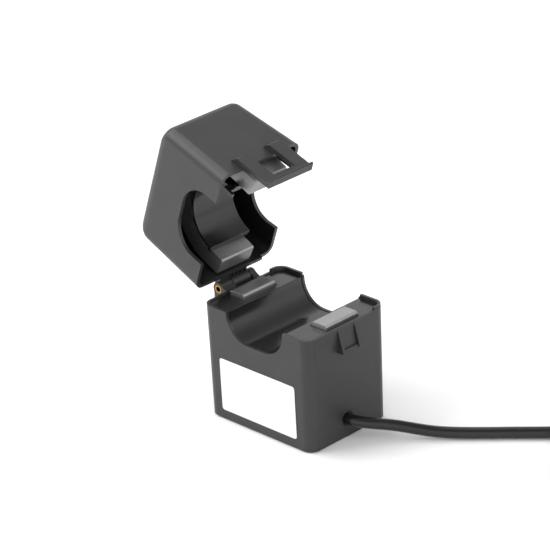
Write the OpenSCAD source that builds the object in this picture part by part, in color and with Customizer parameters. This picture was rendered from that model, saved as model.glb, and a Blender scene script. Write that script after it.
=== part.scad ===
// Split-core current transformer that clips round a power cable.
// Origin: centre of the lower case's underside. +Z up, the measured cable runs along Y,
// the hinge is on the -X side and the latch and the lead are on the +X side.
// The lid is drawn open, resting on its stop.

/* [Lower case] */
// Width across the hinge and latch walls, at the rim
case_w = 45; // [42:0.5:52]
// Depth along the measured cable, at the rim
case_d = 34.6; // [32:0.2:42]
// Height of the lower case, floor to rim
case_h = 38; // [37:0.5:46]
// Radius of the upright corners
case_corner = 3.6; // [2.5:0.1:5]
// How much each wall leans in towards the floor
case_draft = 0.3; // [0:0.05:0.6]
// Wall thickness of the lower case
wall = 1; // [0.8:0.1:1.2]
// Thickness of the floor
floor_t = 1.6; // [1:0.1:2]
// Height of the locating lip along the rear rim
lip_h = 0.9; // [0.4:0.1:1.4]
// How far the lip reaches forward from the rear wall
lip_reach = 5; // [4:0.5:8]

/* [Lid] */
// Height of the lid above its rim
lid_h = 28.6; // [28:0.2:34]
// Thickness of the lid's side walls
lid_wall = 1.2; // [1:0.1:1.3]
// Thickness of the lid's crown
lid_top_t = 1.5; // [1:0.1:1.8]
// How much the hinge and latch walls lean in at the crown
lid_draft_x = 1; // [0:0.1:1.2]
// How much the front and rear walls lean in at the crown
lid_draft_y = 1.6; // [0:0.1:2]
// Rounding of the crown along the hinge and latch walls
crown_round_x = 3.5; // [2:0.1:4]
// Rounding of the crown along the front and rear walls
crown_round_y = 1.5; // [0.8:0.1:2]
// Angle by which the lid stands open
open_angle = 70; // [40:1:80]

/* [Aperture] */
// Width of the opening for the measured cable
bore_w = 24; // [22:0.5:24.5]
// Depth of the opening below the lower rim
bore_low = 9; // [7:0.2:10]
// Depth of the lid's notch above its rim
bore_high = 13.4; // [12:0.2:15]
// Corner radius of the lower opening
bore_r_low = 8.5; // [6:0.5:9]
// Corner radius of the lid's notch
bore_r_high = 9; // [6:0.5:11]
// Step between the case's notch and the saddle behind it
bore_step = 0.2; // [0:0.05:0.5]
// Thickness of the saddle's skin
saddle_t = 1.1; // [0.8:0.1:1.4]

/* [Core] */
// How far the inner faces of the core legs lie inside the case's outer faces
leg_in = 8; // [7.5:0.1:8.1]
// Thickness of the core strip stack
core_t = 6; // [5:0.1:6.2]
// Width of the core along the measured cable
core_d = 13.9; // [12:0.1:15]
// Height of the pole faces above the lower rim
pole_proud = 1.2; // [0.8:0.1:1.6]
// Edge break round the pole faces
pole_break = 0.5; // [0.2:0.1:0.8]
// Height of the lower core's underside
yoke_z = 9; // [8:0.2:10]
// Outer corner radius of the lower core
core_corner = 7; // [5:0.5:8]
// Angle by which the sprung carrier hangs out of the lid
carrier_tilt = 7.7; // [0:0.1:8]

/* [Coil] */
// Length of the winding between the bobbin's cheeks
coil_len = 23; // [18:0.5:24]
// Build-up of the winding round the bobbin
coil_t = 2.9; // [1.5:0.1:3.1]
// Wall of the bobbin's tube
bobbin_t = 0.8; // [0.6:0.1:1]
// Thickness of the bobbin's cheeks
cheek_t = 1; // [0.8:0.1:1.2]

/* [Hinge] */
// Distance from the case wall to the pin's axis
hinge_reach = 3.6; // [3.2:0.1:4.5]
// Outside diameter of the hollow pin
pin_d = 2.8; // [2.2:0.1:3]
// Bore of the hollow pin
pin_bore = 1.7; // [1:0.1:1.9]
// Outside diameter of the knuckles
knuckle_d = 4.3; // [4:0.1:4.6]
// Length of the front knuckle
knuckle_front = 4.7; // [3:0.1:6]
// Length of the lid's knuckle
knuckle_lid = 7.4; // [5:0.1:9]
// Length of the rear knuckle
knuckle_rear = 2.2; // [1.5:0.1:4]

/* [Latch] */
// Width of the latch frame
latch_w = 18.6; // [16:0.2:22]
// Width of the window that drops over the catch
window_w = 9.1; // [8:0.1:11]
// Thickness of the latch frame
latch_t = 1.6; // [1.2:0.1:2]
// How far the frame hangs below the lid's rim
latch_drop = 11.8; // [11:0.1:14]
// Height of the cross bar below the window
bar_h = 3.1; // [2.5:0.1:4]
// How far the pull lip stands out
pull_lip = 1.2; // [0.6:0.1:2]
// How far the catch stands out of the case
catch_out = 2; // [1.2:0.1:2.4]

/* [Label] */
// Width of the label
label_w = 32; // [20:0.5:34]
// Height of the label
label_h = 17.8; // [12:0.2:22]
// Height of the label's lower edge
label_z = 3.5; // [2:0.1:5]

/* [Lead] */
// Outside diameter of the lead
lead_d = 3.6; // [3:0.1:3.8]
// Height of the lead where it leaves the case
lead_z = 6.5; // [6.3:0.1:6.6]
// Offset of the lead from the case's middle
lead_y = -1.2; // [-1.4:0.1:-1]

/* [Hidden] */
$fn = 64;
eps = 0.01;
cut = 60;

// Clearances
rim_gap = 0.2;        // between the closed lid's rim and the lower rim
saddle_gap = 0.1;     // between the saddle and the case walls
leg_gap = 0.3;        // between a core leg and what surrounds it
pole_gap = 0.1;       // between the pole faces with the lid closed
pin_fit = 0.01;       // pin in the case's knuckles
pin_run = 0.06;       // pin in the lid's knuckle
knuckle_gap = 0.3;    // between neighbouring knuckles
latch_gap = 0.35;     // between the latch frame and the case
bobbin_gap = 0.15;    // between the core and the bobbin
board_gap = 0.05;     // between stacked flat parts
stop_gap = 0.15;      // between the open lid and its stop
lip_set = 0.05;       // from the lip to either face of the wall below it
lip_end = 0.6;        // from the aperture to the lip's end
lip_gap = 0.25;       // between the lip's front ends and the lid

// Heights that the parts share
rim = case_h;                       // lower rim
lid_rim = rim + rim_gap;            // rim of the closed lid
pole_z = rim + pole_proud;          // lower pole faces
leg_x = case_w / 2 - leg_in;        // inner face of a core leg
leg_out = leg_x + core_t;           // outer face of a core leg
yoke_top = yoke_z + core_t;
bore_half = bore_w / 2;

// Hinge
pin_drop = 0.3;
pin_x = -case_w / 2 - hinge_reach;
pin_z = rim - pin_drop;
front_y = -6.6;
lid_knuckle_y = front_y + knuckle_front + knuckle_gap;
rear_y = lid_knuckle_y + knuckle_lid + knuckle_gap;
hinge_len = rear_y + knuckle_rear - front_y;

// Carrier: trough, arched core and the point that it rocks about
heel = [-case_w / 2 + lid_wall + 0.3, lid_rim + 5];
carrier_r = bore_half + bore_step;
carrier_t = 0.9;
carrier_z = lid_rim + 6.3;
carrier_len = 16.8;
hook_out = 2.6;                     // how far the carrier's hooks reach past its ends
hook_root = 0.3;
arch_r = 17;                        // outer radius of the arched core's bends
arch_z = lid_rim + 8.6;             // centres of those bends
arch_x = leg_out - arch_r;

// Lead: straight out of the case, down to the table and away to the coil
lead_r = lead_d / 2;
lead_route = [
    [17.5, lead_y, lead_z], [20, lead_y, lead_z], [22.5, lead_y, lead_z], [25, -0.8, 6.4],
    [27.5, 0.5, 6.1], [30, 2.6, 5.7], [32.5, 5.3, 5.1], [35.5, 8.3, 4.3], [39, 11.4, 3.3],
    [43, 14.8, 2.4], [47.5, 18.4, 2], [52, 22.1, 1.9], [57, 26.3, 1.9], [62, 30.6, 1.9],
    [67, 34.8, 1.9], [72, 39.1, 1.9], [77, 43.3, 1.9], [82, 47.6, 2], [87, 51.8, 2.1],
    [90, 54.3, 2.2], [92.7, 56.6, 2.2]
];
coil_at = [110, 36];
coil_mid = 21.5;                    // radius at the middle of the turns
coil_rows = 4;                      // turns side by side in the lower layer, one less on top
tie_t = 0.4;
tail_route = [
    [135.1, 36, 5.8], [135.1, 30.5, 5.8], [135.1, 26, 5.8], [135.1, 21.5, 5.2],
    [135.1, 17.5, 4], [135.1, 13.5, 2.9], [135, 9, 2.2], [134.8, 4.5, 1.9],
    [134.6, 0.2, 1.9]
];
sleeve_len = 7;
strand_len = 10;
bare_len = 4;
strand_gap = 0.15;                  // from the sleeve or the jacket to a wire's end

// Wires inside the lead
wire_d = 1.1;
wire_pitch = 1.3;                   // between the two wires
wire_bend = 1;                      // step that their bends are laid out in
clamp_x = case_w / 2 - wall - 3.3;
clamp_w = 2.2;
bush_x = case_w / 2 - wall - 0.6;
bush_t = 1.1;

// Spring strip
spring_t = 0.3;
spring_w = 8;
spring_len = 24;
spring_bow = 27.6;                  // radius that the strip is bowed to

// ---------- shared shapes ----------

// Rectangle with round corners, centred
module round_rect(w, d, r) {
    square([w - 2 * r, d], center = true);
    square([w, d - 2 * r], center = true);
    for (x = [-1, 1], y = [-1, 1])
        translate([x * (w / 2 - r), y * (d / 2 - r)]) circle(r);
}

// Upright block with round corners, standing on z
module round_block(w, d, r, z, h) {
    translate([0, 0, z]) linear_extrude(h) round_rect(w, d, r);
}

// U outline, open upwards: half width, depth below y = 0, corner radius, height above
module u_outline(half, depth, r, up) {
    intersection() {
        union() {
            translate([-half, r - depth]) square([2 * half, 2 * cut]);
            translate([r - half, -depth]) square([2 * (half - r), r]);
            for (s = [-1, 1])
                translate([s * (half - r), r - depth]) circle(r);
        }
        translate([-half - 1, -depth - 1]) square([2 * half + 2, depth + 1 + up]);
    }
}

// Turns an outline drawn in X and Z into a solid of the given length along Y
module along_y(len) {
    rotate([90, 0, 0]) linear_extrude(len, center = true) children();
}

// The same between two places on Y
module between_y(y0, y1) {
    translate([0, (y0 + y1) / 2, 0]) along_y(y1 - y0) children();
}

// Round bar along Y on the hinge axis
module hinge_bar(d, y0, y1) {
    translate([pin_x, y0, pin_z]) rotate([-90, 0, 0]) cylinder(d = d, h = y1 - y0);
}

// Places what is drawn on the closed lid where the open lid holds it
module on_open_lid() {
    translate([pin_x, 0, pin_z]) rotate([0, -open_angle, 0]) translate([-pin_x, 0, -pin_z])
        children();
}

// Places what is drawn on the seated carrier where the open lid lets it hang
module on_carrier() {
    on_open_lid()
        translate([heel[0], 0, heel[1]]) rotate([0, carrier_tilt, 0])
            translate([-heel[0], 0, -heel[1]]) children();
}

// Half width of the lower case at a height
function case_inset(z) = case_draft * (1 - z / case_h);

// Tube swept along a route, its rings carried along so that they don't twist
function unit(v) = v / norm(v);
function heading(p, i) =
    unit(p[min(i + 1, len(p) - 1)] - p[max(i - 1, 0)]);
function carried(a, t) = unit(a - (a * t) * t);
function sides_of(p, i, a) =
    i == len(p) ? [] : let (b = carried(a, heading(p, i))) concat([b], sides_of(p, i + 1, b));
function ring(p, t, a, r, sides) =
    [for (k = [0:sides - 1]) let (turn = 360 * k / sides)
        p + r * (cos(turn) * a + sin(turn) * cross(a, t))];
module tube(route, d, sides = 8) {
    n = len(route);
    across = sides_of(route, 0, cross(heading(route, 0), [0, 0, 1]));
    points = [for (i = [0:n - 1]) each ring(route[i], heading(route, i), across[i], d / 2, sides)];
    walls = [for (i = [0:n - 2], k = [0:sides - 1]) let (m = (k + 1) % sides)
        [i * sides + k, i * sides + m, (i + 1) * sides + m, (i + 1) * sides + k]];
    start_cap = [for (k = [sides - 1:-1:0]) k];
    end_cap = [for (k = [0:sides - 1]) (n - 1) * sides + k];
    polyhedron(points, concat(walls, [start_cap, end_cap]));
}

// ---------- lower case ----------

module case_body(inset, z0, z1, foot) {
    hull() {
        round_block(case_w - 2 * (inset + case_inset(z0) + foot),
            case_d - 2 * (inset + case_inset(z0) + foot), case_corner - inset, z0, eps);
        round_block(case_w - 2 * (inset + case_inset(z0 + foot)),
            case_d - 2 * (inset + case_inset(z0 + foot)), case_corner - inset, z0 + foot, eps);
        round_block(case_w - 2 * (inset + case_inset(z1)),
            case_d - 2 * (inset + case_inset(z1)), case_corner - inset, z1 - eps, eps);
    }
}

// Band along the rear rim: how far it lies outside and inside the case's outline, and where
// its ends are on X and Y
module rear_band(z, h, outside, inside, from_x, from_y) {
    intersection() {
        difference() {
            round_block(case_w + 2 * outside, case_d + 2 * outside, case_corner, z, h);
            round_block(case_w - 2 * inside, case_d - 2 * inside, case_corner - wall, z - eps,
                h + 2 * eps);
        }
        for (s = [0, 1])
            mirror([s, 0, 0]) translate([from_x, from_y, z]) cube([cut, cut, h]);
    }
}

// Bracket that carries one knuckle of the lower case
module case_knuckle(y0, y1) {
    hinge_bar(knuckle_d, y0, y1);
    between_y(y0, y1)
        polygon([
            [pin_x - 1.9, pin_z], [pin_x + 1, pin_z + 1.6],
            [-case_w / 2 + 0.6, rim - 0.5], [-case_w / 2 + 0.6, rim - 8.5],
            [-case_w / 2 - 0.2, rim - 8.5], [pin_x - 1.9, pin_z - 3.4]
        ]);
}

// Lug that the open lid comes to rest on
module lid_stop(y0, y1) {
    on_open_lid()
        translate([pin_x, y0, pin_z + 0.6])
            cube([hinge_reach - stop_gap, y1 - y0, 1.8]);
}

// Two ramped ribs and a ledge that the latch window drops over
module catch() {
    half = (window_w - 0.8) / 2;
    foot = rim - (latch_drop - bar_h) + rim_gap + 0.3;
    for (y = [-half, half - 1.1])
        between_y(y, y + 1.1)
            polygon([
                [case_w / 2 - 0.6, rim - 0.4], [case_w / 2, rim - 0.4],
                [case_w / 2 + catch_out, foot + 0.7], [case_w / 2 + catch_out, foot],
                [case_w / 2 - 0.6, foot]
            ]);
    between_y(-half + 1, half - 1)
        polygon([
            [case_w / 2 - 0.6, rim - 1.6], [case_w / 2 - 0.1, rim - 1.6],
            [case_w / 2 + 0.9, foot + 1], [case_w / 2 + 1.5, foot + 1],
            [case_w / 2 + 1.5, foot], [case_w / 2 - 0.6, foot]
        ]);
}

module lower_case() {
    color([0.3, 0.3, 0.31]) difference() {
        union() {
            difference() {
                case_body(0, 0, rim, 0.4);
                case_body(wall, floor_t, rim + 1, 0.6);
                translate([0, 0, rim]) along_y(cut)
                    u_outline(bore_half, bore_low, bore_r_low, 5);
            }
            rear_band(rim - 0.3, lip_h + 0.3, -lip_set, wall - lip_set, bore_half + lip_end,
                case_d / 2 - lip_reach);
            case_knuckle(front_y, front_y + knuckle_front);
            case_knuckle(rear_y, rear_y + knuckle_rear);
            lid_stop(front_y + 0.6, front_y + knuckle_front - 0.6);
            catch();
        }
        hinge_bar(pin_d + 2 * pin_fit, front_y - 1, rear_y + knuckle_rear + 1);
        translate([case_w / 2 - 3, lead_y, lead_z]) rotate([0, 90, 0])
            cylinder(d = lead_d + 1.4, h = 6);
    }
}

// ---------- saddle that closes the lower case ----------

saddle_w = case_w - 2 * (wall + saddle_gap);
saddle_d = case_d - 2 * (wall + saddle_gap);
saddle_top = rim - 0.3;
saddle_skirt = 4;

module lower_saddle() {
    half = bore_half + bore_step;
    depth = bore_low + bore_step;
    r = bore_r_low + bore_step;
    color([0.36, 0.36, 0.37]) difference() {
        union() {
            difference() {
                round_block(saddle_w, saddle_d, case_corner - wall,
                    saddle_top - saddle_skirt, saddle_skirt);
                round_block(saddle_w - 2 * saddle_t, saddle_d - 2 * saddle_t,
                    case_corner - wall - saddle_t, saddle_top - saddle_skirt - eps,
                    saddle_skirt - saddle_t);
            }
            translate([0, 0, rim]) along_y(saddle_d)
                u_outline(half + saddle_t, depth + saddle_t, r + saddle_t, saddle_top - rim);
        }
        translate([0, 0, rim]) along_y(cut) u_outline(half, depth, r, 5);
        for (s = [-1, 1])
            translate([s * (leg_x + core_t / 2), 0, saddle_top])
                cube([core_t + 2 * leg_gap, core_d + 2 * leg_gap, 2 * (saddle_skirt + saddle_t)],
                    center = true);
    }
}

// ---------- lower core ----------

// Breaks the long edges of both pole faces at a height
module pole_breaks(z) {
    for (s = [0, 1], x = [leg_x, leg_out])
        mirror([s, 0])
            translate([x, z]) rotate(45) square(pole_break * sqrt(2), center = true);
}

module lower_core() {
    color([0.62, 0.62, 0.63]) along_y(core_d) difference() {
        union() {
            translate([-leg_out, yoke_z + core_corner])
                square([2 * leg_out, pole_z - yoke_z - core_corner]);
            translate([core_corner - leg_out, yoke_z])
                square([2 * (leg_out - core_corner), core_corner]);
            for (s = [-1, 1])
                translate([s * (leg_out - core_corner), yoke_z + core_corner])
                    circle(core_corner);
        }
        translate([-leg_x, yoke_top]) square([2 * leg_x, cut]);
        pole_breaks(pole_z);
    }
}

// ---------- bobbin, winding and tape ----------

tube_y = core_d / 2 + bobbin_gap;         // inside of the bobbin's tube
tube_z0 = yoke_z - bobbin_gap;
tube_z1 = yoke_top + bobbin_gap;
mid_z = (tube_z0 + tube_z1) / 2;
tube_h = tube_z1 - tube_z0;
cheek_y = tube_y + bobbin_t + coil_t + 0.4;

// The board lies midway in the room between the winding and the saddle's trough
board_t = 1;
stub = 0.6;                               // part legs below the board
part_h = 2.8;                             // tallest part on the board
winding_top = mid_z + tube_h / 2 + bobbin_t + coil_t + 0.27;
trough_z = rim - bore_low - bore_step - saddle_t;
board_z = winding_top + stub + (trough_z - winding_top - stub - board_t - part_h) / 2;
cheek_top = board_z - board_gap;

// Ring round the yoke, drawn across X: how far it grows out, inner and outer
module yoke_ring(inner, outer, len, r) {
    translate([0, 0, mid_z]) rotate([90, 0, 90]) linear_extrude(len, center = true)
        difference() {
            round_rect(2 * (tube_y + outer), tube_h + 2 * outer, r);
            round_rect(2 * (tube_y + inner), tube_h + 2 * inner, max(r - outer + inner, 0.2));
        }
}

module bobbin() {
    yoke_ring(0, bobbin_t, coil_len + 2 * cheek_t, 0.6);
    difference() {
        for (s = [-1, 1])
            translate([s * (coil_len + cheek_t) / 2, 0, (floor_t + board_gap + cheek_top) / 2])
                cube([cheek_t, 2 * cheek_y, cheek_top - floor_t - board_gap], center = true);
        translate([0, 0, mid_z]) cube([cut, 2 * tube_y, tube_h], center = true);
    }
}

module bobbin_top_half() {
    color([0.9, 0.88, 0.8]) intersection() {
        bobbin();
        translate([-cut / 2, -cut / 2, mid_z + board_gap / 2]) cube([cut, cut, cut]);
    }
}

module bobbin_bottom_half() {
    color([0.9, 0.88, 0.8]) intersection() {
        bobbin();
        translate([-cut / 2, -cut / 2, mid_z - board_gap / 2 - cut]) cube([cut, cut, cut]);
    }
}

module secondary_winding() {
    color([0.72, 0.4, 0.2]) yoke_ring(bobbin_t + 0.02, bobbin_t + coil_t, coil_len - 0.2, 3);
}

module winding_tape() {
    color([0.85, 0.7, 0.2])
        yoke_ring(bobbin_t + coil_t + 0.02, bobbin_t + coil_t + 0.25, coil_len - 0.6, 3.25);
}

// ---------- circuit board and what is soldered to it ----------

board_w = coil_len + 2 * cheek_t;
board_d = 18;
board_top = board_z + board_t;
wire_r = 0.25;
lead_x = board_w / 2 - 3.5;
part_span = 10;
cable_hole_y = 6;
cable_hole_gap = 1.2;

// Drops children at each of the board's wire holes
module at_winding_holes() {
    for (y = [-1, 1]) translate([-lead_x, 3 * y, 0]) children();
}
module at_cable_holes() {
    for (y = [-1, 1]) translate([lead_x, -cable_hole_y + cable_hole_gap * y, 0]) children();
}
module at_part_holes() {
    for (y = [1, 5.5], x = [-1, 1]) translate([x * part_span / 2 - 1, y, 0]) children();
}

module circuit_board() {
    color([0.1, 0.4, 0.2]) difference() {
        translate([-board_w / 2, -board_d / 2, board_z]) cube([board_w, board_d, board_t]);
        at_winding_holes() translate([0, 0, board_z - 1]) cylinder(r = wire_r + 0.1, h = 3);
        at_cable_holes() translate([0, 0, board_z - 1]) cylinder(r = 0.6, h = 3);
        at_part_holes() translate([0, 0, board_z - 1]) cylinder(r = wire_r + 0.1, h = 3);
    }
}

// Axial part lying on the board: body length, body diameter and place on Y
module axial_part(len, d, y) {
    z = board_top + d / 2 + 0.1;
    translate([-1, y, z]) rotate([0, 90, 0]) {
        cylinder(d = d * 0.86, h = len - 2, center = true);
        for (s = [-1, 1])
            translate([0, 0, s * (len / 2 - 0.8)]) cylinder(d = d, h = 1.6, center = true);
        cylinder(r = wire_r, h = part_span + 2 * wire_r, center = true);
    }
    for (s = [-1, 1])
        translate([s * part_span / 2 - 1, y, board_z - stub])
            cylinder(r = wire_r, h = z - board_z + stub);
}

module burden_resistor() {
    color([0.55, 0.7, 0.8]) axial_part(6.5, 2.4, 1);
}

module clamp_diode() {
    color([0.15, 0.15, 0.16]) axial_part(5.2, 2.7, 5.5);
}

// Fine wire from the winding up through the board
module winding_lead(y) {
    color([0.75, 0.42, 0.2]) translate([-lead_x, y, winding_top]) {
        cylinder(r = wire_r, h = board_top + 0.5 - winding_top);
        translate([0, 0, board_top - winding_top]) cylinder(r1 = 0.7, r2 = 0.3, h = 0.5);
    }
}

module start_lead() {
    winding_lead(-3);
}

module finish_lead() {
    winding_lead(3);
}

// ---------- lead, inside the case ----------

// Insulated wire from the lead's inner end, under the core leg and up to the board. The
// outer one swings wider, and both rise in front of the core.
module inner_wire(side, hole_y) {
    b = wire_bend;
    x0 = lead_route[0][0] - strand_gap;
    x = x0 - 1.85 * b - side * wire_pitch / 2;
    y = lead_y + side * wire_pitch / 2;
    up_y = -core_d / 2 - 2.6 * b;
    over = board_top + 2 * b - side * 0.7 * b;
    tube([
        [x0, y, lead_z], [x0 - 0.3 * b, y, lead_z], [x + 0.8 * b, y - 0.2 * b, lead_z],
        [x + 0.2 * b, y - 0.8 * b, lead_z], [x, y - 1.8 * b, lead_z], [x, up_y + 3 * b, lead_z],
        [x, up_y + b, lead_z + 0.3 * b], [x, up_y + 0.2 * b, lead_z + 1.1 * b],
        [x, up_y, lead_z + 2.2 * b], [x, up_y, over - 2.4 * b],
        [x - 0.2 * b, up_y + 0.1 * b, over - b], [x - b, up_y + 0.5 * b, over],
        [x - 2.4 * b, (up_y + hole_y) / 2 - 0.2 * b, over + 0.5 * b],
        [lead_x + 1.7 * b, hole_y - 0.4 * b, over + 0.5 * b],
        [lead_x + 0.6 * b, hole_y - 0.1 * b, over], [lead_x, hole_y, over - 0.5 * b],
        [lead_x, hole_y, board_top + 0.1 * b]
    ], wire_d, 6);
}

module red_wire() {
    color([0.75, 0.1, 0.08]) inner_wire(-1, -cable_hole_y + cable_hole_gap);
}

module black_wire() {
    color([0.06, 0.06, 0.06]) inner_wire(1, -cable_hole_y - cable_hole_gap);
}

// Nylon tie drawn tight round the lead behind the wall, so that a pull can't draw it out
module cable_clamp() {
    color([0.88, 0.88, 0.84]) difference() {
        union() {
            translate([clamp_x, lead_y, lead_z]) rotate([0, 90, 0])
                cylinder(d = lead_d + 1.8, h = clamp_w);
            translate([clamp_x, lead_y - 1.4, lead_z - lead_r - 2.2]) cube([clamp_w, 2.8, 2.2]);
        }
        translate([clamp_x - 1, lead_y, lead_z]) rotate([0, 90, 0])
            cylinder(d = lead_d + 0.06, h = clamp_w + 2);
    }
}

module exit_bush() {
    color([0.08, 0.08, 0.08]) translate([bush_x, lead_y, lead_z]) rotate([0, 90, 0])
        difference() {
            cylinder(d = lead_d + 1.3, h = bush_t);
            translate([0, 0, -1]) cylinder(d = lead_d + 0.06, h = bush_t + 2);
        }
}

// ---------- label and hinge pin ----------

module name_label() {
    lean = atan(case_draft / case_h);
    mid = label_z + label_h / 2;
    color([0.93, 0.93, 0.92])
        translate([0, -case_d / 2 + case_inset(mid) - 0.02, mid]) rotate([90 + lean, 0, 0])
            linear_extrude(0.16) round_rect(label_w, label_h, 0.9);
}

module hinge_pin() {
    color([0.8, 0.62, 0.3]) difference() {
        hinge_bar(pin_d, front_y - 0.1, front_y + hinge_len + 0.1);
        hinge_bar(pin_bore, front_y - 1, front_y + hinge_len + 1);
    }
}

// ---------- lid ----------

// Lid form: inset from the outside, height of its crown and its crown rounding
module lid_body(inset, z0, top, rx, ry) {
    steps = 5;
    lean_x = lid_draft_x / lid_h;
    lean_y = lid_draft_y / lid_h;
    r = case_corner - inset;
    hull() {
        round_block(case_w - 2 * inset, case_d - 2 * inset, r, z0, eps);
        for (i = [0:steps]) let (a = 90 * i / steps, z = top - rx * (1 - sin(a)), s = z - lid_rim)
            round_block(case_w - 2 * (inset + lean_x * s + rx * (1 - cos(a))),
                case_d - 2 * (inset + lean_y * s + ry * (1 - cos(a))), r, z - eps, eps);
    }
}

// Knuckle of the lid with the ribbed web that joins it to the wall
module lid_knuckle() {
    y0 = lid_knuckle_y;
    y1 = lid_knuckle_y + knuckle_lid;
    ribs = 5;
    rib_t = 0.7;
    root = -case_w / 2 + 0.5;
    hinge_bar(knuckle_d, y0, y1);
    between_y(y0, y1)
        polygon([
            [root, lid_rim + 3.4], [root, lid_rim + 4.6], [-case_w / 2 - 0.3, lid_rim + 4.6],
            [pin_x - 1.4, pin_z + 1.9], [pin_x - 1.4, pin_z], [pin_x, pin_z + 0.9]
        ]);
    for (i = [0:ribs - 1]) let (y = y0 + i * (knuckle_lid - rib_t) / (ribs - 1))
        between_y(y, y + rib_t)
            polygon([
                [root, lid_rim + 0.3], [root, lid_rim + 4], [pin_x, pin_z + 1.5],
                [pin_x, pin_z + 0.5]
            ]);
}

// Frame that hangs from the lid and drops over the catch
module latch_frame() {
    x0 = case_w / 2 + latch_gap;
    x1 = x0 + latch_t;
    foot = lid_rim - latch_drop;
    strap = (latch_w - window_w) / 2;
    for (s = [0, 1]) mirror([0, s, 0])
        between_y(window_w / 2, window_w / 2 + strap)
            polygon([
                [case_w / 2 - 0.6, lid_rim], [case_w / 2 + 0.1, lid_rim], [x0, lid_rim - 0.5],
                [x0, foot], [x1, foot],
                [x1, lid_rim + 2.6], [case_w / 2 + 0.2, lid_rim + 4.4],
                [case_w / 2 - 0.6, lid_rim + 4.4]
            ]);
    between_y(-latch_w / 2, latch_w / 2) {
        translate([x0, foot]) square([latch_t, bar_h]);
        translate([x1 - 0.4, foot]) square([pull_lip + 0.4 - 0.45, 0.9]);
        translate([x1 + pull_lip - 0.45, foot + 0.45]) circle(0.45);
        polygon([[x1 - 0.4, foot + 0.8], [x1 + pull_lip - 0.5, foot + 0.8], [x1 - 0.4, foot + 1.7]]);
    }
}

module lid_case() {
    color([0.33, 0.33, 0.34]) on_open_lid() difference() {
        union() {
            difference() {
                lid_body(0, lid_rim, lid_rim + lid_h, crown_round_x, crown_round_y);
                lid_body(lid_wall, lid_rim - 1, lid_rim + lid_h - lid_top_t,
                    crown_round_x - lid_wall, crown_round_y - 0.6);
                translate([0, 0, lid_rim]) along_y(cut) mirror([0, 1])
                    u_outline(bore_half, bore_high, bore_r_high, 5);
                rear_band(lid_rim - 1, lip_h + 1, 0.3, lid_wall + 0.4, bore_half - 1,
                    case_d / 2 - lip_reach - lip_gap);
            }
            lid_knuckle();
            latch_frame();
        }
        hinge_bar(pin_d + 2 * pin_run, front_y - 1, rear_y + knuckle_rear + 1);
    }
}

// Bowed strip under the crown that pushes the carrier out
module leaf_spring() {
    crown = lid_rim + lid_h - lid_top_t - 0.02;
    color([0.7, 0.7, 0.7]) on_open_lid() intersection() {
        translate([0, 0, crown - spring_bow]) rotate([90, 0, 0]) difference() {
            cylinder(r = spring_bow, h = spring_w, center = true, $fn = 128);
            cylinder(r = spring_bow - spring_t, h = spring_w + 2, center = true, $fn = 128);
        }
        translate([-spring_len / 2, -spring_w, crown - spring_len / 4])
            cube([spring_len, 2 * spring_w, spring_len / 2]);
    }
}

// ---------- sprung carrier and upper core ----------

module core_carrier() {
    flange = leg_x - leg_gap;
    edge = carrier_z - 0.4;
    color([0.3, 0.3, 0.31]) on_carrier() difference() {
        union() {
            along_y(carrier_len) {
                intersection() {
                    translate([0, carrier_z]) circle(carrier_r + carrier_t);
                    translate([-cut, edge]) square([2 * cut, cut]);
                }
                translate([-flange, edge]) square([2 * flange, 1]);
            }
            for (s = [0, 1])
                mirror([0, s, 0]) translate([carrier_r + 0.1, carrier_len / 2, edge]) {
                    translate([0, -hook_root, 0]) cube([1.3, hook_out + hook_root, 2.4]);
                    translate([0, hook_out - 1, -1.6]) cube([1.3, 1, 2]);
                }
        }
        along_y(cut) {
            translate([0, carrier_z]) circle(carrier_r);
            translate([-carrier_r, edge - 6]) square([2 * carrier_r, carrier_z - edge + 6]);
        }
    }
}

// Arch of the upper core for one face of the strip: distance of that face from the legs' middle
module arch_outline(reach, foot) {
    intersection() {
        union() {
            for (s = [-1, 1])
                translate([s * arch_x, arch_z]) circle(reach - arch_x);
            translate([-arch_x, arch_z]) square([2 * arch_x, reach - arch_x]);
            translate([-reach, foot]) square([2 * reach, arch_z - foot]);
        }
        translate([-cut, foot]) square([2 * cut, cut]);
    }
}

module upper_core() {
    foot = pole_z + pole_gap;
    color([0.62, 0.62, 0.63]) on_carrier() along_y(core_d) difference() {
        arch_outline(leg_out, foot);
        arch_outline(leg_x, foot - 1);
        pole_breaks(foot);
    }
}

// ---------- lead, outside the case ----------

module cable() {
    color([0.05, 0.05, 0.05]) tube(lead_route, lead_d);
}

// Closed form of the wound-up turns: four side by side and three on top
module cable_coil() {
    color([0.05, 0.05, 0.05]) translate([coil_at[0], coil_at[1], tie_t]) rotate_extrude($fn = 96)
        translate([coil_mid, 0]) {
            for (layer = [0, 1]) let (half = (coil_rows - layer - 1) * lead_d / 2)
                translate([0, lead_r + layer * lead_d]) {
                    square([2 * half, lead_d], center = true);
                    for (s = [-1, 1]) translate([s * half, 0]) circle(lead_r);
                }
            translate([0, lead_d]) square([(coil_rows - 2) * lead_d, lead_d], center = true);
        }
}

module cable_tail() {
    color([0.05, 0.05, 0.05]) tube(tail_route, lead_d);
}

// Band that holds the turns together
module tie_outline(r) {
    hull() for (s = [-1, 1], layer = [0, 1])
        translate([s * (coil_rows - layer - 1) * lead_d / 2, tie_t + lead_r + layer * lead_d])
            circle(r);
}
module coil_tie() {
    color([0.1, 0.1, 0.1]) translate([coil_at[0] - coil_mid, coil_at[1], 0])
        along_y(4) difference() {
            tie_outline(lead_r + tie_t);
            tie_outline(lead_r + 0.02);
        }
}

tail_end = tail_route[len(tail_route) - 1];
tail_dir = unit(tail_end - tail_route[len(tail_route) - 2]);

// Heat-shrink sleeve where the jacket ends
module end_sleeve() {
    stop = tail_end + sleeve_len * tail_dir;
    color([0.04, 0.04, 0.04])
        tube([tail_end + 0.01 * tail_dir, tail_end + sleeve_len / 2 * tail_dir, stop], lead_d + 0.1, 10);
}

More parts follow.
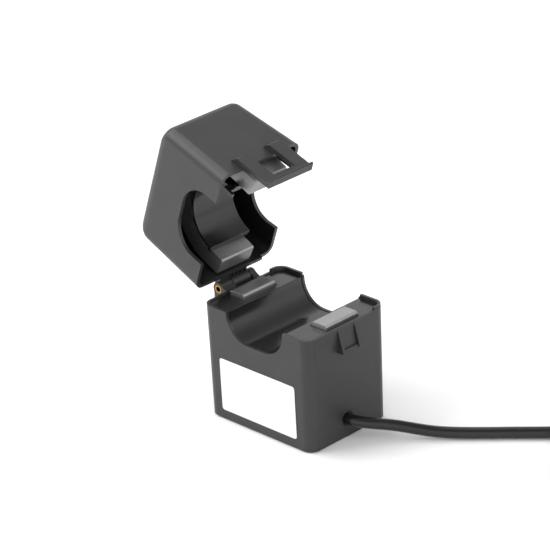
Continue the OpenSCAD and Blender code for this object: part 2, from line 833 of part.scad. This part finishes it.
// Insulated strand with its end bared and tinned
module strand(side) {
    across = side * wire_pitch / 2 * cross([0, 0, 1], tail_dir);
    start = tail_end + (sleeve_len + strand_gap) * tail_dir - [0, 0, wire_d / 2] + across;
    bare = start + (strand_len - bare_len) * tail_dir + 2 * across;
    tube([
        start, start + wire_pitch / 2 * tail_dir,
        start + (strand_len / 2 - bare_len / 2) * tail_dir + 0.7 * across, bare
    ], wire_d, 6);
    tube([bare, bare + bare_len * tail_dir + 0.8 * across], 0.7, 6);
}

module red_tail() {
    color([0.75, 0.1, 0.08]) strand(-1);
}

module black_tail() {
    color([0.06, 0.06, 0.06]) strand(1);
}

lower_case();
lower_saddle();
lower_core();
bobbin_top_half();
bobbin_bottom_half();
secondary_winding();
winding_tape();
circuit_board();
burden_resistor();
clamp_diode();
start_lead();
finish_lead();
red_wire();
black_wire();
cable_clamp();
exit_bush();
name_label();
hinge_pin();
lid_case();
leaf_spring();
core_carrier();
upper_core();
cable();
cable_coil();
cable_tail();
coil_tie();
end_sleeve();
red_tail();
black_tail();
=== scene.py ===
"""Looks of a split-core current transformer round its CAD frame.

It stands on a pale floor with its hinged lid open, and its lead runs off to a tied coil.
"""

import logging
import math
from collections.abc import Callable, Iterable
from dataclasses import dataclass, field
from enum import Enum

import bpy
from mathutils import Matrix, Vector


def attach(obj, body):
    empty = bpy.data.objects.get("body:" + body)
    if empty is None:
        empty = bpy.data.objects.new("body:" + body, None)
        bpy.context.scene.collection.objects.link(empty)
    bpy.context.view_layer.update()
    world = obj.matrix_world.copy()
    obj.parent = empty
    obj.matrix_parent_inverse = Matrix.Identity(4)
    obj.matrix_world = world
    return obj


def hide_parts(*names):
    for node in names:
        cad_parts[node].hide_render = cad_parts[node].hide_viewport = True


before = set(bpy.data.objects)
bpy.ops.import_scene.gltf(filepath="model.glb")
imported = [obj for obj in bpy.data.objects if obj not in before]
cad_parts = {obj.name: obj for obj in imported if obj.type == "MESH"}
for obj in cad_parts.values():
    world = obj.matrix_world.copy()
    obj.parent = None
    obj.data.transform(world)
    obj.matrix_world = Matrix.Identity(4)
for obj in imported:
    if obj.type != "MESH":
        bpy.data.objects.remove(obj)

logging.basicConfig(level=logging.INFO, format="%(name)s: %(message)s")
log = logging.getLogger("transformer")

Point = tuple[float, float, float]
Colour = tuple[float, float, float, float]
Socket = bpy.types.NodeSocket

MM = 0.001
WELD_MM = 0.004  # vertices nearer than this are one
FLAT_DEG = 1.5  # faces that meet at less than this become one
BEVEL_DEG = 35.0  # edges sharper than this are rounded
BEVEL_ROWS = 2  # faces across a rounding
SMOOTH_DEG = 32.0  # edges sharper than this stay crisp in the shading
FAIR_WEIGHT = 90  # how strongly large faces lead the shading, of 100
TINT_MM = 9.0  # size of the drifts in colour
WEAR_MM = 5.0  # size of the drifts in roughness
COAT_ROUGHNESS = 0.18
GRAIN_DEPTH_MM = 0.03  # height of a finish's grain at full strength
WIRE_DEPTH_MM = 0.1  # height of the ridges between turns of wire
WAVE_PERIOD = 0.314  # length of one band of a wave texture of scale 1
SENSOR_MM = 36.0
CLIP_M = (0.05, 20.0)  # nearest and farthest that the camera sees
FLOOR_M = 6.0
FLOOR_Z_M = -0.0001  # just under the piece's base
CURVE_STEPS = 4  # faces along and across a piece of the lead's curve
FULL_TURN = 360.0


class Body(str, Enum):
    """Rigid bodies of the CAD frame."""

    LOWER = "lower"
    LID = "lid"
    CARTRIDGE = "core_cartridge"


# ---------- mesh tools ----------


def deselect() -> None:
    """Leave edit mode and clear the selection."""
    if bpy.context.object and bpy.context.object.mode != "OBJECT":
        bpy.ops.object.mode_set(mode="OBJECT")
    bpy.ops.object.select_all(action="DESELECT")


def take(piece: bpy.types.Object) -> None:
    """Make one object the only selected and active one."""
    deselect()
    piece.select_set(True)
    bpy.context.view_layer.objects.active = piece


def pick_faces(piece: bpy.types.Object, test: Callable[[Vector], bool]) -> int:
    """Select a mesh's faces by their place, and stay in edit mode.

    Args:
        piece: the mesh object.
        test: takes a face's middle in metres and says yes or no.

    Returns:
        How many were selected.
    """
    take(piece)
    bpy.ops.object.mode_set(mode="EDIT")
    bpy.ops.mesh.select_mode(type="FACE")
    bpy.ops.mesh.select_all(action="DESELECT")
    bpy.ops.object.mode_set(mode="OBJECT")
    count = 0
    for face in piece.data.polygons:
        face.select = test(face.center.copy())
        count += face.select
    bpy.ops.object.mode_set(mode="EDIT")
    return count


def named(name: str) -> bpy.types.Object:
    """Name the active object and its mesh, and return it."""
    piece = bpy.context.active_object
    piece.name = name
    piece.data.name = name
    return piece


def settle(piece: bpy.types.Object) -> None:
    """Move an object's place, turn and scale into its mesh."""
    take(piece)
    bpy.ops.object.transform_apply(location=True, rotation=True, scale=True)


def smooth(piece: bpy.types.Object) -> None:
    """Shade smooth, apart from sharp edges."""
    take(piece)
    bpy.ops.object.shade_smooth_by_angle(angle=math.radians(SMOOTH_DEG))


def soften(piece: bpy.types.Object, width: float) -> None:
    """Round a piece's edges with an applied bevel.

    Args:
        piece: the mesh object.
        width: the bevel's width in millimetres.
    """
    take(piece)
    bevel = piece.modifiers.new("soft_edges", "BEVEL")
    bevel.width = width * MM
    bevel.segments = BEVEL_ROWS
    bevel.limit_method = "ANGLE"
    bevel.angle_limit = math.radians(BEVEL_DEG)
    bevel.use_clamp_overlap = True
    bevel.harden_normals = False
    bpy.ops.object.modifier_apply(modifier=bevel.name)


def fair(piece: bpy.types.Object) -> None:
    """Let the large faces lead the shading, so that flat walls look flat up to their roundings."""
    take(piece)
    weighted = piece.modifiers.new("fair_shading", "WEIGHTED_NORMAL")
    weighted.mode = "FACE_AREA"
    weighted.weight = FAIR_WEIGHT
    weighted.keep_sharp = True
    bpy.ops.object.modifier_apply(modifier=weighted.name)


def skin_of(node: str, name: str, edge: float) -> bpy.types.Object:
    """Make a fair copy of a CAD node: faces merged, and its edges rounded.

    Args:
        node: the CAD node that the piece stands for.
        name: the piece's name.
        edge: width of the rounding in millimetres.

    Returns:
        The new piece.
    """
    source = bpy.data.objects[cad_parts[node].name]
    mesh = source.data.copy()
    piece = bpy.data.objects.new(name, mesh)
    mesh.name = name
    mesh.materials.clear()
    bpy.context.scene.collection.objects.link(piece)
    piece.matrix_world = source.matrix_world.copy()
    settle(piece)
    if mesh.has_custom_normals:
        bpy.ops.mesh.customdata_custom_splitnormals_clear()
    bpy.ops.object.mode_set(mode="EDIT")
    bpy.ops.mesh.select_all(action="SELECT")
    bpy.ops.mesh.remove_doubles(threshold=WELD_MM * MM)
    bpy.ops.mesh.dissolve_limited(angle_limit=math.radians(FLAT_DEG))
    bpy.ops.mesh.mark_sharp(clear=True)
    bpy.ops.object.mode_set(mode="OBJECT")
    soften(piece, edge)
    smooth(piece)
    fair(piece)
    return piece


# ---------- finishes ----------


@dataclass(frozen=True)
class Finish:
    """A plain moulded or painted surface with a fine grain.

    Attributes:
        name: the material's name.
        slot: the record's material slot; not used.
        colour: base colour, linear.
        roughness: mean roughness.
        metallic: 1 for bare metal.
        grain: height of the grain, 0 to 1.
        grain_mm: size of the grain in millimetres.
        mottle: how much colour and roughness drift over the piece.
        coat: clear gloss over the base.
    """

    name: str
    slot: str
    colour: Colour
    roughness: float = 0.5
    metallic: float = 0.0
    grain: float = 0.15
    grain_mm: float = 0.35
    mottle: float = 0.08
    coat: float = 0.0

    def build(self) -> bpy.types.Material:
        """Make the material, or return the one made before."""
        found = bpy.data.materials.get(self.name)
        if found:
            return found
        material = bpy.data.materials.new(self.name)
        material.use_nodes = True
        material.diffuse_color = self.colour
        tree = material.node_tree
        shader = tree.nodes["Principled BSDF"]
        shader.inputs["Metallic"].default_value = self.metallic
        shader.inputs["Coat Weight"].default_value = self.coat
        shader.inputs["Coat Roughness"].default_value = COAT_ROUGHNESS
        place = tree.nodes.new("ShaderNodeTexCoord").outputs["Object"]
        tree.links.new(self.tint(tree, place), shader.inputs["Base Color"])
        tree.links.new(self.wear(tree, place), shader.inputs["Roughness"])
        tree.links.new(self.relief(tree, place), shader.inputs["Normal"])
        return material

    def noise(self, tree: bpy.types.NodeTree, place: Socket, size_mm: float,
              detail: float = 3.0) -> Socket:
        """Noise of a given feature size.

        Args:
            tree: the node tree.
            place: coordinates in metres.
            size_mm: rough size of a blotch.
            detail: how many finer layers it holds.

        Returns:
            The noise's value socket.
        """
        noise = tree.nodes.new("ShaderNodeTexNoise")
        noise.inputs["Scale"].default_value = 1 / (size_mm * MM)
        noise.inputs["Detail"].default_value = detail
        tree.links.new(place, noise.inputs["Vector"])
        return noise.outputs["Fac"]

    def ramp(self, tree: bpy.types.NodeTree, value: Socket,
             stops: Iterable[tuple[float, Colour]]) -> Socket:
        """Colour ramp.

        Args:
            tree: the node tree.
            value: what the ramp reads, 0 to 1.
            stops: positions and their colours.

        Returns:
            The ramp's colour socket.
        """
        ramp = tree.nodes.new("ShaderNodeValToRGB")
        spots = list(stops)
        while len(ramp.color_ramp.elements) < len(spots):
            ramp.color_ramp.elements.new(0.5)
        for element, (at, colour) in zip(ramp.color_ramp.elements, spots):
            element.position = at
            element.color = colour
        tree.links.new(value, ramp.inputs["Fac"])
        return ramp.outputs["Color"]

    def shade(self, factor: float) -> Colour:
        """The base colour, lighter or darker by a factor."""
        return (*(min(c * factor, 1.0) for c in self.colour[:3]), 1.0)

    def tint(self, tree: bpy.types.NodeTree, place: Socket) -> Socket:
        """Base colour that drifts a little over the piece."""
        value = self.noise(tree, place, TINT_MM)
        stops = ((0.3, self.shade(1 - self.mottle)), (0.7, self.shade(1 + self.mottle)))
        return self.ramp(tree, value, stops)

    def wear(self, tree: bpy.types.NodeTree, place: Socket) -> Socket:
        """Roughness that drifts with handling."""
        span = tree.nodes.new("ShaderNodeMapRange")
        span.inputs["To Min"].default_value = self.roughness * (1 - self.mottle)
        span.inputs["To Max"].default_value = self.roughness * (1 + self.mottle)
        tree.links.new(self.noise(tree, place, WEAR_MM, detail=4.0), span.inputs["Value"])
        return span.outputs["Result"]

    def relief(self, tree: bpy.types.NodeTree, place: Socket) -> Socket:
        """Fine grain as a bump."""
        bump = tree.nodes.new("ShaderNodeBump")
        bump.inputs["Strength"].default_value = self.grain
        bump.inputs["Distance"].default_value = GRAIN_DEPTH_MM * MM
        tree.links.new(self.noise(tree, place, self.grain_mm, detail=2.0), bump.inputs["Height"])
        return bump.outputs["Normal"]


@dataclass(frozen=True)
class StripSteel(Finish):
    """Ground ends of a stack of core strip: fine lines side by side across the leg.

    Attributes:
        lean: how far the stack's direction is turned about Y, in degrees.
        strip_mm: pitch of the strips.
        seam: how dark the lines between the strips are, as a factor.
        even: how much of an even grey is mixed in.
    """

    lean: float = 0.0
    strip_mm: float = 0.6
    seam: float = 0.72
    even: float = 0.45

    def bands(self, tree: bpy.types.NodeTree, place: Socket) -> Socket:
        """Lines across the stack, a little wavy."""
        turn = tree.nodes.new("ShaderNodeMapping")
        turn.inputs["Rotation"].default_value = (0.0, math.radians(self.lean), 0.0)
        wave = tree.nodes.new("ShaderNodeTexWave")
        wave.inputs["Scale"].default_value = WAVE_PERIOD / (self.strip_mm * MM)
        wave.inputs["Distortion"].default_value = 0.5
        wave.inputs["Detail Scale"].default_value = 3.0
        tree.links.new(place, turn.inputs["Vector"])
        tree.links.new(turn.outputs["Vector"], wave.inputs["Vector"])
        return wave.outputs["Fac"]

    def tint(self, tree: bpy.types.NodeTree, place: Socket) -> Socket:
        """Grey that changes a little from strip to strip."""
        stops = ((0.1, self.shade(self.seam)), (0.45, self.shade(1.0)))
        lines = self.ramp(tree, self.bands(tree, place), stops)
        blend = tree.nodes.new("ShaderNodeMix")
        blend.data_type = "RGBA"
        blend.inputs["Factor"].default_value = self.even
        tree.links.new(lines, blend.inputs["A"])
        tree.links.new(super().tint(tree, place), blend.inputs["B"])
        return blend.outputs["Result"]


@dataclass(frozen=True)
class WoundWire(Finish):
    """Close turns of wire round the yoke, as ridges along X.

    Attributes:
        pitch_mm: from one turn to the next.
    """

    pitch_mm: float = 0.4

    def relief(self, tree: bpy.types.NodeTree, place: Socket) -> Socket:
        """One ridge for each turn."""
        wave = tree.nodes.new("ShaderNodeTexWave")
        wave.inputs["Scale"].default_value = WAVE_PERIOD / (self.pitch_mm * MM)
        bump = tree.nodes.new("ShaderNodeBump")
        bump.inputs["Strength"].default_value = 0.8
        bump.inputs["Distance"].default_value = WIRE_DEPTH_MM * MM
        tree.links.new(place, wave.inputs["Vector"])
        tree.links.new(wave.outputs["Fac"], bump.inputs["Height"])
        return bump.outputs["Normal"]


SHELL = Finish("charcoal_moulding", "charcoal_plastic", (0.019, 0.019, 0.0197, 1.0),
               roughness=0.42, grain=0.6, grain_mm=0.28, mottle=0.12)
# Same charcoal plastic as the shell, but smoother, and its colour is darkened as painted shade for
# the lid's cavity.
INNER_SHELL_PAINTED_SHADE = Finish("inner_moulding_painted_shade", "charcoal_plastic", (0.0075, 0.0075, 0.008, 1.0),
                     roughness=0.3, grain=0.1, grain_mm=1.6, mottle=0.2)
# Same charcoal plastic, glossier, and its colour is darkened as painted shade down in the aperture
# and in the carrier's trough.
TROUGH_PAINTED_SHADE = Finish("polished_moulding_painted_shade", "charcoal_plastic", (0.011, 0.011, 0.0115, 1.0),
                roughness=0.22, grain=0.12, grain_mm=2.2, mottle=0.25)
LOWER_POLE = StripSteel("ground_strip_ends", "core_steel", (0.36, 0.355, 0.355, 1.0),
                        roughness=0.36, metallic=0.85, grain=0.3, grain_mm=0.4, mottle=0.15)
UPPER_POLE = StripSteel("upper_strip_ends", "core_steel", (0.3, 0.3, 0.3, 1.0), roughness=0.38,
                        metallic=0.8, grain=0.3, grain_mm=0.4, mottle=0.2, lean=-62.3)
BRASS = Finish("turned_brass", "pin_brass", (0.42, 0.22, 0.06, 1.0), roughness=0.3, metallic=1.0,
               grain=0.1, grain_mm=0.2, mottle=0.15)
LABEL = Finish("blank_vinyl", "label_white", (0.8, 0.805, 0.81, 1.0), roughness=0.42, grain=0.08,
               grain_mm=0.6, mottle=0.015)
JACKET = Finish("shiny_jacket", "black_jacket", (0.0055, 0.0055, 0.006, 1.0), roughness=0.24,
                grain=0.12, grain_mm=1.5, mottle=0.15)
RUBBER = Finish("black_rubber", "black_rubber", (0.014, 0.014, 0.014, 1.0), roughness=0.6,
                grain=0.25, grain_mm=0.4)
NYLON = Finish("natural_nylon", "pale_nylon", (0.66, 0.63, 0.53, 1.0), roughness=0.45, mottle=0.05)
COPPER = WoundWire("enamelled_wire", "winding_copper", (0.45, 0.16, 0.06, 1.0), roughness=0.3,
                   metallic=0.8, coat=0.4)
TAPE = Finish("amber_tape", "amber_tape", (0.5, 0.3, 0.03, 1.0), roughness=0.22, grain_mm=1.2,
              coat=0.3)
BOARD = Finish("green_laminate", "board_green", (0.012, 0.12, 0.035, 1.0), roughness=0.3,
               grain_mm=0.9, coat=0.4)
RESISTOR = Finish("resistor_lacquer", "resistor_blue", (0.14, 0.32, 0.5, 1.0), roughness=0.35)
RED = Finish("red_insulation", "red_insulation", (0.5, 0.012, 0.01, 1.0), roughness=0.32,
             grain_mm=0.6)
BLACK = Finish("black_insulation", "black_insulation", (0.012, 0.012, 0.013, 1.0), roughness=0.35)
FLOOR = Finish("pale_floor", "", (0.9, 0.9, 0.9, 1.0), roughness=0.8, grain=0.0, mottle=0.0)
SPRING = Finish("spring_strip", "spring_steel", (0.45, 0.45, 0.46, 1.0), roughness=0.3,
                metallic=1.0, grain=0.1)


def dress(piece: bpy.types.Object, finish: Finish) -> None:
    """Give a piece one finish all over."""
    piece.data.materials.clear()
    piece.data.materials.append(finish.build())


def dress_node(node: str, finish: Finish) -> None:
    """Give a CAD node that stays in view its finish."""
    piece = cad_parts[node]
    for place in piece.material_slots:
        place.link = "OBJECT"
        place.material = finish.build()
    log.info("%s keeps its CAD shape", node)


def fit(piece: bpy.types.Object, body: Body, finish: Finish, *nodes: str) -> None:
    """Dress a piece and hang it on its body in place of CAD nodes.

    Args:
        piece: the mesh or curve object.
        body: the rigid body that it moves with.
        finish: its surface.
        nodes: the CAD nodes that it stands for.
    """
    dress(piece, finish)
    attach(piece, body.value)
    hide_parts(*nodes)
    log.info("%s made", piece.name)


# ---------- studio ----------


@dataclass
class Studio:
    """Camera, pale floor and soft lights.

    Attributes:
        azimuth: camera azimuth in degrees, from -Y towards +X.
        elevation: camera height angle in degrees.
        roll: how far the view is turned, in degrees.
        distance: from the pivot to the camera, in metres.
        pivot: the point that the view is centred near.
        shift: how far the view's centre lies from the pivot, right and up.
        lens: focal length in millimetres on a 36 mm sensor.
        sky: heights, as the sine of the elevation, and levels where the surroundings darken.
        brightness: strength of the surroundings.
        lamps: name, place in metres, side in metres and power in watts of each light.
    """

    azimuth: float = 45.68
    elevation: float = 24.867
    roll: float = -2.927
    distance: float = 0.93346
    pivot: Point = (0.0, 0.0, 0.022)
    shift: tuple[float, float] = (0.00636, -0.02337)
    lens: float = 198.1
    sky: tuple[tuple[float, float], ...] = ((0.4, 1.0), (0.8, 0.35))
    brightness: float = 1.25
    lamps: tuple[tuple[str, Point, float, float], ...] = (
        ("key", (-0.55, -0.45, 0.75), 0.7, 7.0),
        ("top", (-0.45, 0.1, 1.0), 0.6, 4.0),
        ("side", (0.8, 0.1, 0.5), 0.5, 2.0))

    def camera(self) -> None:
        """Set the scene's camera."""
        a, e, r = (math.radians(v) for v in (self.azimuth, self.elevation, self.roll))
        back = Vector((math.sin(a) * math.cos(e), -math.cos(a) * math.cos(e), math.sin(e)))
        flat = Vector((math.cos(a), math.sin(a), 0.0))
        up = back.cross(flat)
        right_axis = math.cos(r) * flat + math.sin(r) * up
        up_axis = -math.sin(r) * flat + math.cos(r) * up
        place = Vector(self.pivot) - self.shift[0] * right_axis - self.shift[1] * up_axis
        place += self.distance * back
        data = bpy.data.cameras.new("camera")
        data.lens = self.lens
        data.sensor_width = SENSOR_MM
        data.clip_start, data.clip_end = CLIP_M
        camera = bpy.data.objects.new("camera", data)
        bpy.context.scene.collection.objects.link(camera)
        turn = Matrix((right_axis, up_axis, back)).transposed().to_4x4()
        camera.matrix_world = Matrix.Translation(place) @ turn
        bpy.context.scene.camera = camera

    def lamp(self, name: str, place: Point, size: float, power: float) -> None:
        """Add a square area light that faces the transformer.

        Args:
            name: the light's name.
            place: where it hangs, in metres.
            size: length of its side in metres.
            power: in watts.
        """
        data = bpy.data.lights.new(name, "AREA")
        data.shape = "SQUARE"
        data.size = size
        data.energy = power
        lamp = bpy.data.objects.new(name, data)
        lamp.location = place
        aim = Vector(self.pivot) - Vector(place)
        lamp.rotation_euler = aim.to_track_quat("-Z", "Y").to_euler()
        bpy.context.scene.collection.objects.link(lamp)

    def floor(self) -> None:
        """Lay the pale floor."""
        deselect()
        bpy.ops.mesh.primitive_plane_add(size=FLOOR_M, location=(0.0, 0.0, FLOOR_Z_M))
        floor = named("floor")
        settle(floor)
        dress(floor, FLOOR)

    def light(self) -> None:
        """Hang the lights and set the pale surroundings."""
        world = bpy.data.worlds.new("surroundings")
        world.use_nodes = True
        tree = world.node_tree
        split = tree.nodes.new("ShaderNodeSeparateXYZ")
        sky = tree.nodes.new("ShaderNodeValToRGB")
        for stop, (height, level) in zip(sky.color_ramp.elements, self.sky):
            stop.position = height
            stop.color = (level, level, level, 1.0)
        place = tree.nodes.new("ShaderNodeTexCoord").outputs["Generated"]
        tree.links.new(place, split.inputs["Vector"])
        tree.links.new(split.outputs["Z"], sky.inputs["Fac"])
        tree.links.new(sky.outputs["Color"], tree.nodes["Background"].inputs["Color"])
        tree.nodes["Background"].inputs["Strength"].default_value = self.brightness
        bpy.context.scene.world = world
        bpy.context.scene.view_settings.view_transform = "Standard"
        for lamp in self.lamps:
            self.lamp(*lamp)

    def build(self) -> None:
        """Set up all of it."""
        self.camera()
        self.light()
        self.floor()


# ---------- lead ----------


def eased(t: float) -> float:
    """Smooth step from 0 to 1."""
    t = min(max(t, 0.0), 1.0)
    return t * t * (3 - 2 * t)


@dataclass
class Lead:
    """Output lead: out of the latch wall, over the table and into a tied coil.

    Attributes:
        diameter: outside diameter in millimetres.
        length: in metres; not used.
        route: from behind the wall to the coil, in millimetres.
        tail: from the coil to the bared end.
        centre: middle of the coil.
        middle: radius at the middle of the turns.
        start: where on the coil the lead arrives, in degrees from +X.
        turns: how far the coil winds from there, in degrees.
        rounds: how many lie side by side on the table.
        base: height of the lower layer's middle.
        inward: turn, within each of the first rounds, where the lead moves inwards.
        climb: turn where the lead climbs to the upper layer.
        climb_over: how long it climbs.
        outward: turns where it moves outwards on the upper layer.
        shift_over: how long it takes to move in or out by its own width.
        step: from one point of the coil to the next, in degrees.
    """

    diameter: float = 3.6
    length: float = 1.0
    route: list[Point] = field(default_factory=lambda: [
        (20, -1.2, 6.5), (22.5, -1.2, 6.5), (25, -0.8, 6.4), (27.5, 0.5, 6.1), (30, 2.6, 5.7),
        (32.5, 5.3, 5.1), (35.5, 8.3, 4.3), (39, 11.4, 3.3), (43, 14.8, 2.4), (47.5, 18.4, 2),
        (52, 22.1, 1.9), (57, 26.3, 1.9), (62, 30.6, 1.9), (67, 34.8, 1.9), (72, 39.1, 1.9),
        (77, 43.3, 1.9), (82, 47.6, 2), (87, 51.8, 2.1), (90, 54.3, 2.2)])
    tail: list[Point] = field(default_factory=lambda: [
        (135.1, 30.5, 5.8), (135.1, 26, 5.8), (135.1, 21.5, 5.2), (135.1, 17.5, 4),
        (135.1, 13.5, 2.9), (135, 9, 2.2), (134.8, 4.5, 1.9), (134.6, 0.2, 1.9)])
    centre: tuple[float, float] = (110.0, 36.0)
    middle: float = 21.5
    start: float = 130.2
    turns: float = 2290.2
    rounds: int = 4
    base: float = 2.2
    inward: float = 270.0
    climb: float = 1290.0
    climb_over: float = 60.0
    outward: tuple[float, float] = (1570.0, 1930.0)
    shift_over: float = 90.0
    step: float = 15.0

    def ring_at(self, turn: float) -> tuple[float, float]:
        """Radius and height of the lead, both in millimetres.

        The first rounds wind inwards on the table, the lead climbs, and the rest wind outwards
        on top.

        Args:
            turn: how far round the coil, in degrees.

        Returns:
            The radius and the height of the lead's middle.
        """
        d = self.diameter
        half = (self.rounds - 1) / 2
        if turn < self.climb:
            whole, part = divmod(turn, FULL_TURN)
            inwards = whole + eased((part - self.inward) / self.shift_over)
            return self.middle + d * (half - min(inwards, self.rounds - 1)), self.base
        if turn < self.climb + self.climb_over:
            risen = eased((turn - self.climb) / self.climb_over)
            return self.middle - d * (half - risen / 2), self.base + d * risen
        outwards = sum(eased((turn - at) / self.shift_over) for at in self.outward)
        return self.middle - d + d * outwards, self.base + d

    def coil(self) -> list[Point]:
        """Points along the coil's turns, clockwise."""
        points = []
        steps = round(self.turns / self.step)
        for step in range(steps + 1):
            turn = self.turns * step / steps
            radius, height = self.ring_at(turn)
            angle = math.radians(self.start - turn)
            points.append((self.centre[0] + radius * math.cos(angle),
                           self.centre[1] + radius * math.sin(angle), height))
        return points

    def line(self) -> list[Vector]:
        """The whole route in metres."""
        return [Vector(p) * MM for p in (*self.route, *self.coil(), *self.tail)]

    def build(self) -> None:
        points = self.line()
        curve = bpy.data.curves.new("lead", "CURVE")
        curve.dimensions = "3D"
        curve.bevel_depth = self.diameter * MM / 2
        curve.bevel_resolution = CURVE_STEPS
        curve.resolution_u = CURVE_STEPS
        curve.use_fill_caps = True
        spline = curve.splines.new("BEZIER")
        spline.bezier_points.add(len(points) - 1)
        for knot, place in zip(spline.bezier_points, points):
            knot.co = place
            knot.handle_left_type = knot.handle_right_type = "AUTO"
        lead = bpy.data.objects.new("lead", curve)
        bpy.context.scene.collection.objects.link(lead)
        fit(lead, Body.LOWER, JACKET, "cable", "cable_coil", "cable_tail")
        ends = {"coil_tie": RUBBER, "end_sleeve": RUBBER, "red_tail": RED, "black_tail": BLACK}
        for node, finish in ends.items():
            dress_node(node, finish)


# ---------- case and lid ----------


@dataclass(frozen=True)
class Skin:
    """A piece that is a fair copy of one CAD node.

    Attributes:
        node: the CAD node.
        name: the piece's name.
        edge: width of its edges' rounding in millimetres.
        body: the rigid body that it moves with.
        finish: its surface.
    """

    node: str
    name: str
    edge: float
    body: Body
    finish: Finish

    def build(self) -> bpy.types.Object:
        """Make the piece, dressed and hung on its body."""
        piece = skin_of(self.node, self.name, self.edge)
        fit(piece, self.body, self.finish, self.node)
        return piece


@dataclass
class LowerHalf:
    """Lower case, its saddle, the label and the core's pole faces.

    Attributes:
        skins: pieces in view.
        inside: nodes that the case hides, with their finishes.
    """

    skins: tuple[Skin, ...] = (
        Skin("lower_case", "case_shell", 0.28, Body.LOWER, SHELL),
        Skin("lower_saddle", "aperture_saddle", 0.25, Body.LOWER, TROUGH_PAINTED_SHADE),
        Skin("lower_core", "lower_core_stack", 0.12, Body.LOWER, LOWER_POLE),
        Skin("name_label", "blank_label", 0.05, Body.LOWER, LABEL))
    inside: dict[str, Finish] = field(default_factory=lambda: {
        "bobbin_top_half": NYLON, "bobbin_bottom_half": NYLON, "secondary_winding": COPPER,
        "winding_tape": TAPE, "circuit_board": BOARD, "burden_resistor": RESISTOR,
        "clamp_diode": RUBBER, "start_lead": COPPER, "finish_lead": COPPER, "red_wire": RED,
        "black_wire": BLACK, "cable_clamp": NYLON, "exit_bush": RUBBER})

    def build(self) -> None:
        """Make all of the lower half."""
        for skin in self.skins:
            skin.build()
        for node, finish in self.inside.items():
            dress_node(node, finish)


@dataclass
class Lid:
    """Hinged lid with its latch frame, pin, spring and sprung core.

    All lengths are in millimetres.

    Attributes:
        shell: the lid itself, with its knuckle and latch frame.
        pin: hollow hinge pin.
        cartridge: sprung carrier and the arched core that it holds.
        pin_at: a point on the hinge axis.
        opened: angle that the lid stands open at, in degrees.
        rim: height of the shut lid's rim.
        lip: height above the rim where the cavity begins.
        crown: height above the rim where it ends.
        half_width, half_depth: of the rim's outside.
        lean_x, lean_y: how much the walls lean in for each millimetre of height.
        skin: a face deeper than this is an inner one.
    """

    shell: Skin = Skin("lid_case", "lid_shell", 0.28, Body.LID, SHELL)
    pin: Skin = Skin("hinge_pin", "hollow_pin", 0.12, Body.LOWER, BRASS)
    cartridge: tuple[Skin, ...] = (
        Skin("core_carrier", "sprung_carrier", 0.2, Body.CARTRIDGE, TROUGH_PAINTED_SHADE),
        Skin("upper_core", "arched_core", 0.12, Body.CARTRIDGE, UPPER_POLE))
    pin_at: Point = (-26.1, 0.0, 37.7)
    opened: float = 70.0
    rim: float = 38.2
    lip: float = 0.35
    crown: float = 27.6
    half_width: float = 22.5
    half_depth: float = 17.3
    lean_x: float = 0.035
    lean_y: float = 0.056
    skin: float = 1.0

    def is_inside(self, middle: Vector) -> bool:
        """Whether a face of the open lid lies in its cavity, which gets the painted shade.

        Args:
            middle: the face's middle, in metres.

        Returns:
            True for the inner walls and the inner crown.
        """
        pin = Vector(self.pin_at) * MM
        shut = Matrix.Rotation(math.radians(self.opened), 3, "Y") @ (middle - pin) + pin
        rise = shut.z / MM - self.rim
        return (self.lip < rise < self.crown
                and abs(shut.x) / MM < self.half_width - self.lean_x * rise - self.skin
                and abs(shut.y) / MM < self.half_depth - self.lean_y * rise - self.skin)

    def line_cavity_with_painted_shade(self, shell: bpy.types.Object) -> None:
        """Give the lid's cavity its smoother finish, and a darker colour that is painted shade."""
        shell.data.materials.append(INNER_SHELL_PAINTED_SHADE.build())
        count = pick_faces(shell, self.is_inside)
        shell.active_material_index = len(shell.data.materials) - 1
        bpy.ops.object.material_slot_assign()
        bpy.ops.object.mode_set(mode="OBJECT")
        log.info("%s: %d inner faces", shell.name, count)

    def build(self) -> None:
        """Make all of the lid."""
        self.line_cavity_with_painted_shade(self.shell.build())
        self.pin.build()
        dress_node("leaf_spring", SPRING)
        for skin in self.cartridge:
            skin.build()


def main() -> None:
    """Build the scene."""
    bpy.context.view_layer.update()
    Studio().build()
    Lead().build()
    LowerHalf().build()
    Lid().build()
    deselect()


if __name__ == "__main__":
    main()
